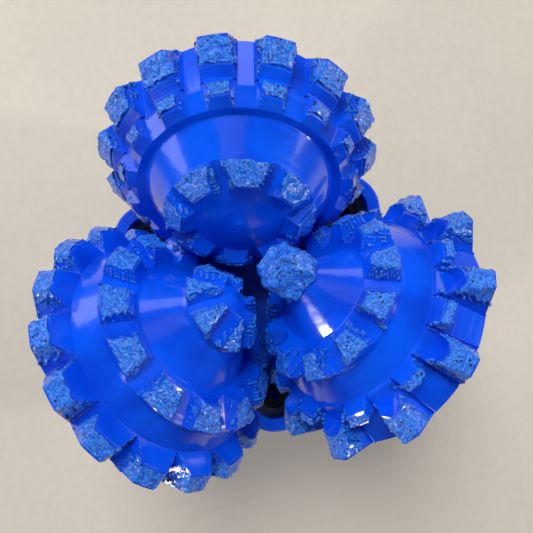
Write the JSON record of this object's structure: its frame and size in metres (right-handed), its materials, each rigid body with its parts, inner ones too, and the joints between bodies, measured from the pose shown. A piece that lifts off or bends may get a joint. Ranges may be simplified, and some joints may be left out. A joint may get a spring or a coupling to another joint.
{
  "type": "tricone drill bit",
  "caption": "Milled-tooth roller cone drill bit: three toothed cones on journal legs, nozzle bosses between them and a tapered threaded pin.",
  "frame": {"origin": "centre of the pin end face on the bit axis", "axes": "+Z along the bit axis from the pin end towards the cones; the nose of cone three points along +Y"},
  "size_m": [0.3066, 0.3013, 0.3525],
  "materials": {
    "blue_enamel": "gloss blue enamel over forged and machined steel",
    "hardfacing": "rough tungsten-carbide hardfacing under blue enamel",
    "spring_steel": "phosphated spring steel",
    "carbide": "ground tungsten carbide",
    "seal_rubber": "nitrile rubber",
    "bearing_bronze": "machined beryllium bronze",
    "plated_steel": "zinc-plated pressed steel",
    "bearing_steel": "ground bearing steel"
  },
  "bodies": {
    "frame": {"ball_plug_one": "bearing_steel", "ball_plug_three": "bearing_steel", "ball_plug_two": "bearing_steel", "grease_canister_one": "plated_steel", "grease_canister_three": "plated_steel", "grease_canister_two": "plated_steel", "grease_cap_one": "plated_steel", "grease_cap_three": "plated_steel", "grease_cap_two": "plated_steel", "grease_snap_rings": "spring_steel", "leg_one": "blue_enamel", "leg_three": "blue_enamel", "leg_two": "blue_enamel", "nozzle_one": "carbide", "nozzle_snap_rings": "spring_steel", "nozzle_three": "carbide", "nozzle_two": "carbide", "retaining_balls_one": "bearing_steel", "retaining_balls_three": "bearing_steel", "retaining_balls_two": "bearing_steel", "seal_one": "seal_rubber", "seal_three": "seal_rubber", "seal_two": "seal_rubber", "shirttail_pad_one": "hardfacing", "shirttail_pad_three": "hardfacing", "shirttail_pad_two": "hardfacing", "weld_seams": "blue_enamel"},
    "rolling_cone_one": {"bushing_one": "bearing_bronze", "cone_one": "blue_enamel", "hardfacing_one_inner": "hardfacing", "hardfacing_one_middle": "hardfacing", "hardfacing_one_outer": "hardfacing", "hardfacing_one_spearpoint": "hardfacing", "thrust_washer_one": "bearing_steel"},
    "rolling_cone_two": {"bushing_two": "bearing_bronze", "cone_two": "blue_enamel", "hardfacing_two_heel": "hardfacing", "hardfacing_two_middle": "hardfacing", "hardfacing_two_nose": "hardfacing", "thrust_washer_two": "bearing_steel"},
    "rolling_cone_three": {"bushing_three": "bearing_bronze", "cone_three": "blue_enamel", "hardfacing_three_heel": "hardfacing", "hardfacing_three_nose": "hardfacing", "hardfacing_three_second": "hardfacing", "thrust_washer_three": "bearing_steel"}
  },
  "joints": [
    {"name": "cone_one_roll", "type": "hinge", "parent": "frame", "child": "rolling_cone_one", "pos_m": [0.07739, -0.03368, 0.26554], "axis": [0.7263, -0.4193, -0.5446], "continuous": true},
    {"name": "cone_two_roll", "type": "hinge", "parent": "frame", "child": "rolling_cone_two", "pos_m": [-0.06787, -0.05018, 0.26554], "axis": [-0.7263, -0.4193, -0.5446], "continuous": true},
    {"name": "cone_three_roll", "type": "hinge", "parent": "frame", "child": "rolling_cone_three", "pos_m": [-0.00953, 0.08387, 0.26554], "axis": [0, 0.8387, -0.5446], "continuous": true}
  ]
}
